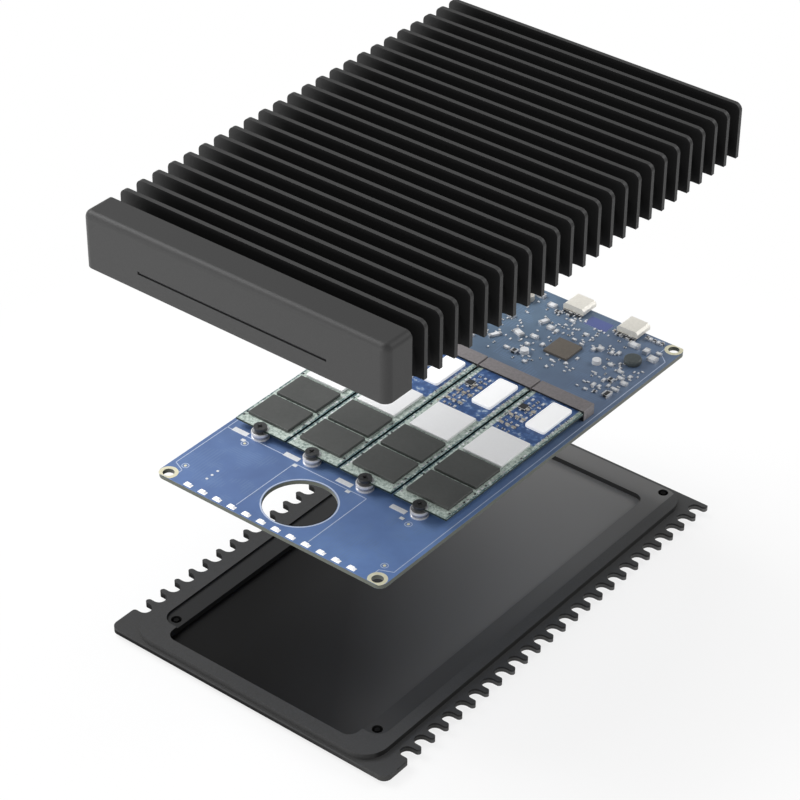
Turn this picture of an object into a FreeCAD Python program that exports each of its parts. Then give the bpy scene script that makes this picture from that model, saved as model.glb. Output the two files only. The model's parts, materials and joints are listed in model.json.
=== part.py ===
import FreeCAD, Part
import os
import re
import Sketcher

# A portable drive shown opened up: a finned upper housing, a circuit board that carries four
# memory cards, and a base plate. X is the width and runs along the fins, Y is the length with
# the solid front bar at the low end, and Z is up. The origin is under the middle of the base.

OUTPUT_FOLDER = "parts"

# Driving dimensions in millimetres, with plain counts where the name says count.
SIZES = {
    # Housing and base share this outline and comb.
    "case_width": 122.0,
    "bar_depth": 11.8,
    "fin_count": 24,
    "fin_pitch": 7.32,
    "fin_thickness": 1.6,
    "slot_depth": 5.2,
    "slot_root_cut": 1.5,
    "front_corner_radius": 3.0,
    "fit_gap": 0.1,
    # Finned housing.
    "housing_height": 20.3,
    "top_edge_radius": 2.4,
    "fin_end_cut": 1.5,
    "channel_floor": 10.5,
    "roof_thickness": 2.1,
    "side_wall": 3.2,
    "front_wall": 2.6,
    "back_wall": 2.08,
    "cavity_corner_radius": 8.0,
    "lip_wall": 2.1,
    "front_lip": 0.9,
    "lip_corner_radius": 9.4,
    "boss_radius": 2.7,
    "boss_gap": 0.2,
    "spigot_radius": 1.7,
    "spigot_reach": 0.3,
    "boss_bore_radius": 1.1,
    "boss_bore_depth": 6.5,
    # Light slot in the bar and the guide behind it.
    "light_slot_width": 76.0,
    "light_slot_height": 1.1,
    "light_slot_level": 6.5,
    "guide_recess": 0.4,
    "guide_rib_depth": 3.0,
    "guide_foot_depth": 2.2,
    "guide_foot_height": 1.4,
    # Thermal pads under the roof.
    "pad_thickness": 1.0,
    "pad_side_margin": 1.5,
    "pad_length": 70.0,
    "pad_front_margin": 4.0,
    # Base plate.
    "plate_thickness": 2.2,
    "tooth_thickness": 2.2,
    "tooth_tip_cut": 0.7,
    "plateau_height": 2.0,
    "plateau_gap": 0.3,
    "seat_height": 1.2,
    "seat_side_gap": 0.4,
    "seat_front_gap": 1.0,
    "seat_corner_radius": 5.0,
    "pocket_floor": 1.3,
    "pocket_front": 6.5,
    "pocket_back_margin": 11.8,
    "pocket_hole_margin": 3.5,
    "pocket_corner_radius": 4.0,
    "case_hole_radius": 1.9,
    "counterbore_radius": 2.7,
    "counterbore_depth": 1.4,
    "foot_radius": 5.0,
    "foot_height": 1.5,
    "foot_inset_side": 15.0,
    "foot_inset_end": 29.0,
    # Screws that close the case from below.
    "case_screw_head_radius": 2.4,
    "case_screw_head_height": 1.2,
    "case_screw_radius": 1.0,
    "case_screw_length": 1.9,
    "case_screw_socket": 1.6,
    "case_screw_socket_depth": 0.6,
    # Circuit board.
    "board_width": 96.6,
    "board_thickness": 1.6,
    "board_front_gap": 10.7,
    "board_back_gap": 0.4,
    "board_corner_radius": 3.0,
    "board_hole_radius": 2.0,
    "hole_inset_side": 3.6,
    "hole_inset_end": 2.6,
    "round_hole_radius": 12.5,
    "round_hole_offset": 17.2,
    # Memory cards, their sockets and their fasteners.
    "card_pitch": 22.86,
    "card_width": 22.0,
    "card_length": 80.0,
    "card_thickness": 0.8,
    "card_lift": 2.5,
    "card_offset": 37.1,
    "card_notch_radius": 1.75,
    "tongue_width": 19.85,
    "tongue_length": 4.0,
    "key_offset": 6.125,
    "key_width": 1.2,
    "key_length": 3.5,
    "card_fit": 0.1,
    "socket_width": 22.2,
    "socket_depth": 6.2,
    "socket_height": 4.2,
    "socket_overlap": 3.9,
    "standoff_radius": 2.9,
    "standoff_bore_radius": 0.9,
    "card_screw_head_radius": 2.4,
    "card_screw_head_height": 1.2,
    "card_screw_radius": 0.8,
    "card_screw_length": 2.2,
    "card_screw_recess_length": 2.2,
    "card_screw_recess_width": 0.6,
    "card_screw_recess_depth": 0.7,
    # Chips on each card, placed from the card's front edge.
    "memory_width": 17.6,
    "memory_length": 13.2,
    "memory_height": 1.2,
    "memory_offset": 4.0,
    "memory_spacing": 14.7,
    "controller_size": 16.2,
    "controller_offset": 33.4,
    "controller_height": 1.1,
    "cache_width": 8.2,
    "cache_length": 16.8,
    "cache_height": 1.2,
    "cache_offset": 57.3,
    "cache_shift": 3.8,
    "trim_offset": 54.0,
    "trim_shift": 8.6,
    "trim_length": 1.6,
    "trim_width": 0.9,
    "trim_height": 0.6,
    "trim_pitch_across": 2.6,
    "trim_pitch_along": 5.6,
    "trim_columns": 3,
    # Lights along the front edge of the board.
    "light_count": 12,
    "light_pitch": 6.35,
    "light_width": 2.0,
    "light_depth": 1.2,
    "light_height": 0.7,
    "light_offset": 1.6,
    # Connectors and parts at the back of the board.
    "port_width": 9.0,
    "port_height": 3.2,
    "port_length": 8.0,
    "port_wall": 0.35,
    "port_corner_cut": 0.9,
    "port_overhang": 1.9,
    "port_position": 15.1,
    "port_pitch": 23.6,
    "port_tongue_width": 6.7,
    "port_tongue_height": 0.7,
    "port_opening_width": 9.8,
    "port_opening_margin": 0.4,
    "bridge_size": 10.0,
    "bridge_height": 1.0,
    "bridge_position": 14.3,
    "bridge_offset": 27.6,
    "coil_radius": 3.2,
    "coil_height": 2.2,
    "coil_position": 38.0,
    "coil_offset": 18.5,
    "capacitor_radius": 2.4,
    "capacitor_height": 2.6,
    "capacitor_position": 14.8,
    "capacitor_offset": 9.0,
    # How far the lifted layers stand above the places where they close.
    "board_lift": 61.5,
    "housing_lift": 85.26,
}

# Lengths that follow from the driving dimensions.
DERIVED = {
    "case_half": "case_width / 2",
    "case_length": "bar_depth + fin_count * fin_pitch",
    "case_front": "-case_length / 2",
    "case_back": "case_length / 2",
    "slot_width": "fin_pitch - fin_thickness",
    "slot_front": "case_front + bar_depth",
    "slot_root": "case_half - slot_depth",
    "cavity_half": "slot_root - side_wall",
    "cavity_front": "case_front + front_wall",
    "cavity_back": "case_back - back_wall",
    "ceiling": "channel_floor - roof_thickness",
    "lip_half": "slot_root - lip_wall",
    "lip_front": "case_front + front_lip",
    "lip_height": "plateau_height + plateau_gap",
    "plateau_half": "lip_half - plateau_gap",
    "plateau_front": "lip_front + plateau_gap",
    "plateau_back": "cavity_back - plateau_gap",
    "board_half": "board_width / 2",
    "board_back": "cavity_back - board_back_gap",
    "board_front": "cavity_front + board_front_gap",
    "hole_x": "board_half - hole_inset_side",
    "hole_front": "board_front + hole_inset_end",
    "hole_back": "board_back - hole_inset_end",
    "seat_half": "board_half + seat_side_gap",
    "seat_front": "board_front - seat_front_gap",
    "pocket_half": "hole_x - pocket_hole_margin",
    "plate_top": "foot_height + plate_thickness",
    "board_level": "plate_top + seat_height + fit_gap + board_lift",
    "board_top": "board_level + board_thickness",
    "housing_level": "plate_top + fit_gap + board_lift + housing_lift",
    "closed_board_top": "seat_height + board_thickness",
    "card_front": "board_front + card_offset",
    "card_back": "card_front + card_length",
    "card_top": "card_lift + card_thickness",
    "socket_front": "card_back - socket_overlap",
    "row_start": "-card_pitch * 1.5",
    "foot_x": "case_half - foot_inset_side",
    "foot_y": "case_back - foot_inset_end",
    "guide_front": "case_front + guide_recess",
    "guide_back": "board_front + light_offset + guide_foot_depth / 2",
    "port_mouth": "board_back + port_overhang",
}

CARD_COUNT = 4
PORT_COUNT = 2
TRIM_ROWS = 3
NO_RADIUS = None
SMALLEST_CUT = 1e-3

doc = FreeCAD.newDocument("finned_drive")
sheet = doc.addObject("Spreadsheet::Sheet", "sizes")
for row, (alias, number) in enumerate(SIZES.items(), start=1):
    sheet.set(f"A{row}", alias)
    sheet.set(f"B{row}", str(number))
    sheet.setAlias(f"B{row}", alias)
doc.recompute()

finished = []


def formula(text):
    """Spell a formula over the names above as an expression over the sheet."""
    def spell(match):
        word = match.group(0)
        if word in DERIVED:
            return "(" + formula(DERIVED[word]) + ")"
        return "sizes." + word if word in SIZES else word
    return re.sub(r"(?<![\w.])[a-z_]+[a-z0-9_]*", spell, str(text))


def value(text):
    """The number that a formula gives now."""
    return float(sheet.evalExpression(formula(text)))


def new_body(name, level="0", across="0"):
    """A body named after its piece, placed at a level and a distance across."""
    body = doc.addObject("PartDesign::Body", name)
    body.Label = name
    body.setExpression("Placement.Base.x", formula(across))
    body.setExpression("Placement.Base.z", formula(level))
    finished.append(body)
    return body


def origin_feature(body, role):
    return next(feature for feature in body.Origin.OriginFeatures if feature.Role == role)


def new_sketch(body, name, role="XY_Plane", offset="0"):
    """A sketch on one of the body's own planes, moved along the plane's normal."""
    sketch = body.newObject("Sketcher::SketchObject", f"{body.Name}_{name}")
    sketch.AttachmentSupport = [(origin_feature(body, role), "")]
    sketch.MapMode = "FlatFace"
    sketch.setExpression("AttachmentOffset.Base.z", formula(offset))
    return sketch


def bind(sketch, kind, *where):
    """Add a dimension whose last argument is a formula, and tie it to the sheet."""
    *references, text = where
    index = sketch.addConstraint(Sketcher.Constraint(kind, *references, value(text)))
    sketch.setExpression(f"Constraints[{index}]", formula(text))


def outline(sketch, corners, straight=False):
    """A closed loop of upright and level lines through corners given as (across, up, size).

    A corner with a size is rounded by it, or else cut straight at 45 degrees.
    """
    points = [FreeCAD.Vector(value(across), value(up), 0) for across, up, _ in corners]
    count = len(corners)
    radii = [0.0 if radius is NO_RADIUS else value(radius) for _, _, radius in corners]
    lines = []
    for here in range(count):
        after = (here + 1) % count
        along = (points[after] - points[here]).normalize()
        start = points[here] + along * radii[here]
        end = points[after] - along * radii[after]
        lines.append(sketch.addGeometry(Part.LineSegment(start, end), False))
    for here, (across, up, radius) in enumerate(corners):
        before = lines[here - 1]
        line = lines[here]
        level = abs(points[(here + 1) % count].y - points[here].y) < 1e-9
        sketch.addConstraint(Sketcher.Constraint("Horizontal" if level else "Vertical", line))
        if level:
            bind(sketch, "DistanceY", line, 1, up)
        else:
            bind(sketch, "DistanceX", line, 1, across)
        if radius is NO_RADIUS:
            sketch.addConstraint(Sketcher.Constraint("Coincident", before, 2, line, 1))
            continue
        add_corner(sketch, points[here - 1], points[here], points[(here + 1) % count], radii[here],
                   before, line, radius, straight)
    return sketch


def add_corner(sketch, before_point, corner, after_point, size, before, line, radius, straight):
    """Join two lines at a corner with an arc tangent to both, or with a line at 45 degrees."""
    backward = (before_point - corner).normalize()
    forward = (after_point - corner).normalize()
    centre = corner + (backward + forward) * size
    start = corner + backward * size
    end = corner + forward * size
    if straight:
        chord = sketch.addGeometry(Part.LineSegment(start, end), False)
        sketch.addConstraint(Sketcher.Constraint("Coincident", before, 2, chord, 1))
        sketch.addConstraint(Sketcher.Constraint("Coincident", chord, 2, line, 1))
        left, right = (1, 2) if end.x > start.x else (2, 1)
        low, high = (1, 2) if end.y > start.y else (2, 1)
        bind(sketch, "DistanceX", chord, left, chord, right, radius)
        bind(sketch, "DistanceY", chord, low, chord, high, radius)
        return
    middle = centre + (corner - centre).normalize() * size
    arc = sketch.addGeometry(Part.Arc(start, middle, end), False)
    turns_left = backward.cross(forward).z < 0
    first, last = (1, 2) if turns_left else (2, 1)
    sketch.addConstraint(Sketcher.Constraint("Tangent", before, 2, arc, first))
    sketch.addConstraint(Sketcher.Constraint("Tangent", arc, last, line, 1))
    bind(sketch, "Radius", arc, radius)


def rectangle(sketch, left, right, low, high, radius=NO_RADIUS, straight=False):
    return outline(sketch, [(left, low, radius), (right, low, radius),
                            (right, high, radius), (left, high, radius)], straight)


def circle(sketch, across, up, radius):
    centre = FreeCAD.Vector(value(across), value(up), 0)
    index = sketch.addGeometry(Part.Circle(centre, FreeCAD.Vector(0, 0, 1), value(radius)), False)
    bind(sketch, "DistanceX", index, 3, across)
    bind(sketch, "DistanceY", index, 3, up)
    bind(sketch, "Radius", index, radius)
    return sketch


def pad(sketch, length, both_ways=False, downward=False):
    """Add the sketch's area along its normal, or centred on its plane."""
    body = sketch.getParentGeoFeatureGroup()
    feature = body.newObject("PartDesign::Pad", f"{sketch.Name}_pad")
    feature.Profile = sketch
    feature.SideType = "Symmetric" if both_ways else "One side"
    feature.Reversed = downward
    feature.setExpression("Length", formula(length))
    return feature


def pocket(sketch, depth=None, both_ways=False, upward=False):
    """Cut the sketch's area by a depth, or right through, and see that the body got smaller."""
    body = sketch.getParentGeoFeatureGroup()
    doc.recompute()
    before = body.Shape.Volume
    feature = body.newObject("PartDesign::Pocket", f"{sketch.Name}_cut")
    feature.Profile = sketch
    feature.SideType = "Symmetric" if both_ways else "One side"
    feature.Reversed = upward
    if depth is None:
        feature.Type = "ThroughAll"
    else:
        feature.setExpression("Length", formula(depth))
    doc.recompute()
    if body.Shape.Volume > before - SMALLEST_CUT:
        raise RuntimeError(f"{feature.Name} removes nothing")
    return feature


def repeat(originals, role, pitch, count):
    """Repeat features in a row along one of the body's axes."""
    body = originals[0].getParentGeoFeatureGroup()
    feature = body.newObject("PartDesign::LinearPattern", f"{originals[0].Name}_row")
    feature.Originals = originals
    feature.Direction = (origin_feature(body, role), [""])
    feature.Mode = "Spacing"
    feature.setExpression("Offset", formula(pitch))
    feature.setExpression("Occurrences", formula(count))
    body.Tip = feature
    doc.recompute()
    return feature


def round_edges(body, name, radius, wanted):
    """Round the body's edges that a test on their bounds picks out."""
    doc.recompute()
    tip = body.Tip
    names = [f"Edge{number}" for number, edge in enumerate(tip.Shape.Edges, start=1)
             if wanted(edge.BoundBox)]
    feature = body.newObject("PartDesign::Fillet", f"{body.Name}_{name}")
    feature.Base = (tip, names)
    feature.setExpression("Radius", formula(radius))
    body.Tip = feature
    doc.recompute()
    return feature


def case_outline(body, back):
    """The plan outline that the housing and the base share: round in front, square behind."""
    return outline(new_sketch(body, "outline"), [
        ("-case_half", "case_front", "front_corner_radius"),
        ("case_half", "case_front", "front_corner_radius"),
        ("case_half", back, NO_RADIUS),
        ("-case_half", back, NO_RADIUS),
    ])


def side_slots(body, level, tooth="fin_thickness", mouth_cut=NO_RADIUS):
    """One slot between teeth in each long side, cut right through from a level upward."""
    low = f"slot_front + ({tooth} - fin_thickness) / 2"
    high = f"slot_front + fin_pitch - ({tooth} + fin_thickness) / 2"
    sketch = new_sketch(body, "slots", offset=level)
    for sign in ("", "-"):
        root = f"{sign}(slot_root)"
        mouth = f"{sign}(case_half)"
        outside = f"{sign}(case_half + 1)"
        if mouth_cut is NO_RADIUS:
            corners = [(outside, low, NO_RADIUS), (root, low, "slot_root_cut"),
                       (root, high, "slot_root_cut"), (outside, high, NO_RADIUS)]
        else:
            land = f"({tooth} / 2 + {mouth_cut}) / 2"
            corners = [(outside, f"{low} - {land}", NO_RADIUS), (mouth, f"{low} - {land}", NO_RADIUS),
                       (mouth, low, mouth_cut), (root, low, "slot_root_cut"),
                       (root, high, "slot_root_cut"), (mouth, high, mouth_cut),
                       (mouth, f"{high} + {land}", NO_RADIUS), (outside, f"{high} + {land}", NO_RADIUS)]
        outline(sketch, corners, straight=True)
    return pocket(sketch, upward=True)


def corner_holes(sketch, radius):
    for across in ("-hole_x", "hole_x"):
        for along in ("hole_front", "hole_back"):
            circle(sketch, across, along, radius)
    return sketch


def finned_housing():
    """One-piece housing: a solid rounded bar, a hollow core and a comb of cross fins."""
    body = new_body("heatsink_housing", "housing_level")
    pad(case_outline(body, "slot_front"), "housing_height")
    near = 1e-4
    bar_back = value("slot_front")
    top = value("housing_height")
    round_edges(body, "top_edge", "top_edge_radius",
                lambda box: box.ZMin > top - near and box.YMin < bar_back - near)
    fins = outline(new_sketch(body, "fin_block", "XZ_Plane", "-case_back"), [
        ("-case_half", "0", NO_RADIUS),
        ("case_half", "0", NO_RADIUS),
        ("case_half", "housing_height", "fin_end_cut"),
        ("-case_half", "housing_height", "fin_end_cut"),
    ], straight=True)
    pad(fins, "case_back - slot_front")
    lip = rectangle(new_sketch(body, "lip"), "-lip_half", "lip_half", "lip_front", "cavity_back",
                    "lip_corner_radius")
    pocket(lip, "lip_height", upward=True)
    cavity = rectangle(new_sketch(body, "cavity"), "-cavity_half", "cavity_half",
                       "cavity_front", "cavity_back", "cavity_corner_radius")
    pocket(cavity, "ceiling", upward=True)
    channel = new_sketch(body, "channel", "YZ_Plane")
    rectangle(channel, "slot_front", "slot_front + slot_width", "channel_floor", "housing_height + 1")
    cuts = [pocket(channel, both_ways=True), side_slots(body, "0")]
    repeat(cuts, "Y_Axis", "fin_pitch", "fin_count")
    boss_end = "closed_board_top + boss_gap"
    bosses = corner_holes(new_sketch(body, "bosses", offset=boss_end), "boss_radius")
    pad(bosses, f"ceiling - ({boss_end})")
    spigot_end = "-fit_gap - spigot_reach"
    spigots = corner_holes(new_sketch(body, "spigots", offset=spigot_end), "spigot_radius")
    pad(spigots, f"{boss_end} - ({spigot_end})")
    bores = corner_holes(new_sketch(body, "bores", offset=spigot_end), "boss_bore_radius")
    pocket(bores, "boss_bore_depth", upward=True)
    slot = new_sketch(body, "light_slot", "XZ_Plane", "-case_front")
    rectangle(slot, "-light_slot_width / 2", "light_slot_width / 2",
              "light_slot_level - light_slot_height / 2", "light_slot_level + light_slot_height / 2")
    pocket(slot, "front_wall")
    for number in range(PORT_COUNT):
        opening = new_sketch(body, f"port_opening_{number + 1}", "XZ_Plane", "-case_back")
        middle = f"port_position - port_pitch / 2 + {number} * port_pitch"
        top_edge = "closed_board_top + port_height + port_opening_margin"
        outline(opening, [
            (f"{middle} - port_opening_width / 2", "-1", NO_RADIUS),
            (f"{middle} + port_opening_width / 2", "-1", NO_RADIUS),
            (f"{middle} + port_opening_width / 2", top_edge, "port_height / 2"),
            (f"{middle} - port_opening_width / 2", top_edge, "port_height / 2"),
        ])
        pocket(opening, "back_wall", upward=True)


def light_guide():
    """Smoked guide: a blade in the light slot, a rib to the roof and a foot over the lights."""
    body = new_body("light_guide", "housing_level")
    low = "light_slot_level - light_slot_height / 2 + fit_gap"
    high = "light_slot_level + light_slot_height / 2 - fit_gap"
    rib = "cavity_front + fit_gap"
    profile = outline(new_sketch(body, "profile", "YZ_Plane"), [
        ("guide_front", low, NO_RADIUS),
        ("guide_back - guide_foot_depth", low, NO_RADIUS),
        ("guide_back - guide_foot_depth", f"{low} - guide_foot_height", NO_RADIUS),
        ("guide_back", f"{low} - guide_foot_height", NO_RADIUS),
        ("guide_back", high, NO_RADIUS),
        (f"{rib} + guide_rib_depth", high, NO_RADIUS),
        (f"{rib} + guide_rib_depth", "ceiling", NO_RADIUS),
        (rib, "ceiling", NO_RADIUS),
        (rib, high, NO_RADIUS),
        ("guide_front", high, NO_RADIUS),
    ])
    pad(profile, "light_slot_width - 2 * fit_gap", both_ways=True)


def thermal_pad(number):
    """Soft pad under the roof, above one memory card."""
    body = new_body(f"thermal_pad_{number}", "housing_level", f"row_start + {number - 1} * card_pitch")
    half = "card_width / 2 - pad_side_margin"
    front = "card_front + pad_front_margin"
    face = rectangle(new_sketch(body, "face", offset="ceiling - pad_thickness"), f"-({half})", half,
                     front, f"{front} + pad_length")
    pad(face, "pad_thickness")


def base_plate():
    """Plate with the same comb, a raised plateau, a board seat, a deep pocket and screw holes."""
    body = new_body("base_plate", "plate_top")
    plate = case_outline(body, "case_back")
    pad(plate, "plate_thickness", downward=True)
    plateau = rectangle(new_sketch(body, "plateau"), "-plateau_half", "plateau_half", "plateau_front",
                        "plateau_back", "lip_corner_radius - plateau_gap")
    pad(plateau, "plateau_height")
    slots = side_slots(body, "-plate_thickness", "tooth_thickness", "tooth_tip_cut")
    repeat([slots], "Y_Axis", "fin_pitch", "fin_count")
    seat = new_sketch(body, "seat", offset="seat_height")
    outline(seat, [
        ("-seat_half", "seat_front", "seat_corner_radius"),
        ("seat_half", "seat_front", "seat_corner_radius"),
        ("seat_half", "plateau_back + 1", NO_RADIUS),
        ("-seat_half", "plateau_back + 1", NO_RADIUS),
    ])
    pocket(seat, "plateau_height", upward=True)
    deep = new_sketch(body, "pocket", offset="pocket_floor - plate_thickness")
    rectangle(deep, "-pocket_half", "pocket_half", "case_front + pocket_front",
              "case_back - pocket_back_margin", "pocket_corner_radius")
    pocket(deep, "plate_thickness + plateau_height", upward=True)
    holes = corner_holes(new_sketch(body, "holes", offset="-plate_thickness"), "case_hole_radius")
    pocket(holes, upward=True)
    sinks = corner_holes(new_sketch(body, "sinks", offset="-plate_thickness"), "counterbore_radius")
    pocket(sinks, "counterbore_depth", upward=True)


def foot(number, across, along):
    """Round rubber foot under the plate."""
    body = new_body(f"foot_{number}")
    pad(circle(new_sketch(body, "disc"), across, along, "foot_radius"), "foot_height")


def case_screws():
    """Four short screws set up into the base from below."""
    body = new_body("case_screws", "plate_top")
    seat = "counterbore_depth - plate_thickness"
    heads = corner_holes(new_sketch(body, "heads", offset=seat), "case_screw_head_radius")
    pad(heads, "case_screw_head_height", downward=True)
    shanks = corner_holes(new_sketch(body, "shanks", offset=seat), "case_screw_radius")
    pad(shanks, "case_screw_length")
    sockets = new_sketch(body, "sockets", offset=f"{seat} - case_screw_head_height")
    for across in ("-hole_x", "hole_x"):
        for along in ("hole_front", "hole_back"):
            rectangle(sockets, f"{across} - case_screw_socket / 2", f"{across} + case_screw_socket / 2",
                      f"{along} - case_screw_socket / 2", f"{along} + case_screw_socket / 2")
    pocket(sockets, "case_screw_socket_depth", upward=True)


def main_board():
    """Circuit board with four corner holes and a large round one."""
    body = new_body("main_board", "board_level")
    edge = rectangle(new_sketch(body, "edge"), "-board_half", "board_half", "board_front", "board_back",
                     "board_corner_radius")
    pad(edge, "board_thickness")
    holes = corner_holes(new_sketch(body, "holes"), "board_hole_radius")
    circle(holes, "0", "board_front + round_hole_offset", "round_hole_radius")
    pocket(holes, upward=True)


def status_lights():
    """Row of small lights along the front edge of the board."""
    body = new_body("status_lights", "board_top")
    first = "-light_pitch * (light_count - 1) / 2"
    along = "board_front + light_offset"
    light = rectangle(new_sketch(body, "light"), f"{first} - light_width / 2", f"{first} + light_width / 2",
                      f"{along} - light_depth / 2", f"{along} + light_depth / 2")
    repeat([pad(light, "light_height")], "X_Axis", "light_pitch", "light_count")


def memory_card(number, across):
    """Card with a half-round screw notch in front and a keyed contact tongue behind."""
    body = new_body(f"memory_card_{number}", "board_top + card_lift", across)
    shoulder = "card_back - tongue_length"
    key = "key_offset"
    profile = outline(new_sketch(body, "profile"), [
        ("-card_width / 2", "card_front", NO_RADIUS),
        ("card_width / 2", "card_front", NO_RADIUS),
        ("card_width / 2", shoulder, NO_RADIUS),
        ("tongue_width / 2", shoulder, NO_RADIUS),
        ("tongue_width / 2", "card_back", NO_RADIUS),
        (f"{key} + key_width / 2", "card_back", NO_RADIUS),
        (f"{key} + key_width / 2", "card_back - key_length", NO_RADIUS),
        (f"{key} - key_width / 2", "card_back - key_length", NO_RADIUS),
        (f"{key} - key_width / 2", "card_back", NO_RADIUS),
        ("-tongue_width / 2", "card_back", NO_RADIUS),
        ("-tongue_width / 2", shoulder, NO_RADIUS),
        ("-card_width / 2", shoulder, NO_RADIUS),
    ])
    pad(profile, "card_thickness")
    pocket(circle(new_sketch(body, "notch"), "0", "card_front", "card_notch_radius"), upward=True)


def card_socket(number, across):
    """Edge socket that grips the card's tongue, with the key post inside."""
    body = new_body(f"card_socket_{number}", "board_top", across)
    block = rectangle(new_sketch(body, "block"), "-socket_width / 2", "socket_width / 2", "socket_front",
                      "socket_front + socket_depth")
    pad(block, "socket_height")
    mouth_half = "tongue_width / 2 + card_fit"
    end = "card_back + card_fit"
    post_left = "key_offset - key_width / 2 + card_fit"
    post_right = "key_offset + key_width / 2 - card_fit"
    post_tip = "card_back - key_length + card_fit"
    slot = outline(new_sketch(body, "slot", offset="card_lift - card_fit"), [
        (f"-({mouth_half})", "socket_front - 1", NO_RADIUS),
        (mouth_half, "socket_front - 1", NO_RADIUS),
        (mouth_half, end, NO_RADIUS),
        (post_right, end, NO_RADIUS),
        (post_right, post_tip, NO_RADIUS),
        (post_left, post_tip, NO_RADIUS),
        (post_left, end, NO_RADIUS),
        (f"-({mouth_half})", end, NO_RADIUS),
    ])
    pocket(slot, "card_thickness + 2 * card_fit", upward=True)


def card_standoffs():
    """Four threaded posts under the front edges of the cards."""
    body = new_body("card_standoffs", "board_top")
    post = circle(new_sketch(body, "post"), "row_start", "card_front", "standoff_radius")
    post_pad = pad(post, "card_lift")
    bore = circle(new_sketch(body, "bore"), "row_start", "card_front", "standoff_bore_radius")
    bore_cut = pocket(bore, upward=True)
    repeat([post_pad, bore_cut], "X_Axis", "card_pitch", str(CARD_COUNT))


def card_screws():
    """Four low screws with a cross recess that hold the cards down."""
    body = new_body("card_screws", "board_top + card_top")
    head = circle(new_sketch(body, "head"), "row_start", "card_front", "card_screw_head_radius")
    head_pad = pad(head, "card_screw_head_height")
    shank = circle(new_sketch(body, "shank"), "row_start", "card_front", "card_screw_radius")
    shank_pad = pad(shank, "card_screw_length", downward=True)
    recess = new_sketch(body, "recess", offset="card_screw_head_height")
    long_half = "card_screw_recess_length / 2"
    thin_half = "card_screw_recess_width / 2"
    outline(recess, [
        (f"row_start - {thin_half}", f"card_front - {long_half}", NO_RADIUS),
        (f"row_start + {thin_half}", f"card_front - {long_half}", NO_RADIUS),
        (f"row_start + {thin_half}", f"card_front - {thin_half}", NO_RADIUS),
        (f"row_start + {long_half}", f"card_front - {thin_half}", NO_RADIUS),
        (f"row_start + {long_half}", f"card_front + {thin_half}", NO_RADIUS),
        (f"row_start + {thin_half}", f"card_front + {thin_half}", NO_RADIUS),
        (f"row_start + {thin_half}", f"card_front + {long_half}", NO_RADIUS),
        (f"row_start - {thin_half}", f"card_front + {long_half}", NO_RADIUS),
        (f"row_start - {thin_half}", f"card_front + {thin_half}", NO_RADIUS),
        (f"row_start - {long_half}", f"card_front + {thin_half}", NO_RADIUS),
        (f"row_start - {long_half}", f"card_front - {thin_half}", NO_RADIUS),
        (f"row_start - {thin_half}", f"card_front - {thin_half}", NO_RADIUS),
    ])
    recess_cut = pocket(recess, "card_screw_recess_depth")
    repeat([head_pad, shank_pad, recess_cut], "X_Axis", "card_pitch", str(CARD_COUNT))


def chip(name, level, across, left, right, low, high, height):
    """Flat chip package."""
    body = new_body(name, level, across)
    pad(rectangle(new_sketch(body, "face"), left, right, low, high), height)


def card_chips(number, across):
    """Two memory chips, a controller and a cache chip on one card."""
    level = "board_top + card_top"
    for place, name in enumerate(("front_memory", "rear_memory")):
        low = f"card_front + memory_offset + {place} * memory_spacing"
        chip(f"{name}_{number}", level, across, "-memory_width / 2", "memory_width / 2",
             low, f"{low} + memory_length", "memory_height")
    low = "card_front + controller_offset"
    chip(f"controller_{number}", level, across, "-controller_size / 2", "controller_size / 2",
         low, f"{low} + controller_size", "controller_height")
    low = "card_front + cache_offset"
    chip(f"cache_chip_{number}", level, across, "cache_shift - cache_width / 2",
         "cache_shift + cache_width / 2", low, f"{low} + cache_length", "cache_height")


def card_trim(number, across):
    """Small parts in rows beside the cache chip."""
    body = new_body(f"card_trim_{number}", "board_top + card_top", across)
    column = new_sketch(body, "column")
    for row in range(TRIM_ROWS):
        low = f"card_front + trim_offset + {row} * trim_pitch_along"
        rectangle(column, "-trim_shift", "trim_length - trim_shift", low, f"{low} + trim_width")
    repeat([pad(column, "trim_height")], "X_Axis", "trim_pitch_across", "trim_columns")


def data_port(number):
    """Metal port shell, open behind, with its contact tongue."""
    body = new_body(f"data_port_{number}", "board_top",
                    f"port_position - port_pitch / 2 + {number - 1} * port_pitch")
    shell = rectangle(new_sketch(body, "shell", "XZ_Plane", "-(port_mouth)"), "-port_width / 2",
                      "port_width / 2", "0", "port_height", "port_corner_cut", straight=True)
    pad(shell, "port_length")
    mouth = rectangle(new_sketch(body, "mouth", "XZ_Plane", "-(port_mouth)"),
                      "port_wall - port_width / 2", "port_width / 2 - port_wall", "port_wall",
                      "port_height - port_wall", "port_corner_cut - port_wall / 2", straight=True)
    pocket(mouth, "port_length - 3 * port_wall", upward=True)
    tongue = rectangle(new_sketch(body, "tongue", "XZ_Plane", "-(port_mouth - 3 * port_wall)"),
                       "-port_tongue_width / 2", "port_tongue_width / 2",
                       "port_height / 2 - port_tongue_height / 2",
                       "port_height / 2 + port_tongue_height / 2")
    pad(tongue, "port_length - 5 * port_wall")


def bridge_chip():
    low = "board_back - bridge_offset - bridge_size / 2"
    chip("bridge_chip", "board_top", "bridge_position", "-bridge_size / 2", "bridge_size / 2", low,
         f"{low} + bridge_size", "bridge_height")


def round_part(name, across, along, radius, height):
    """Upright round part."""
    body = new_body(name, "board_top")
    pad(circle(new_sketch(body, "face"), across, along, radius), height)


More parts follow.
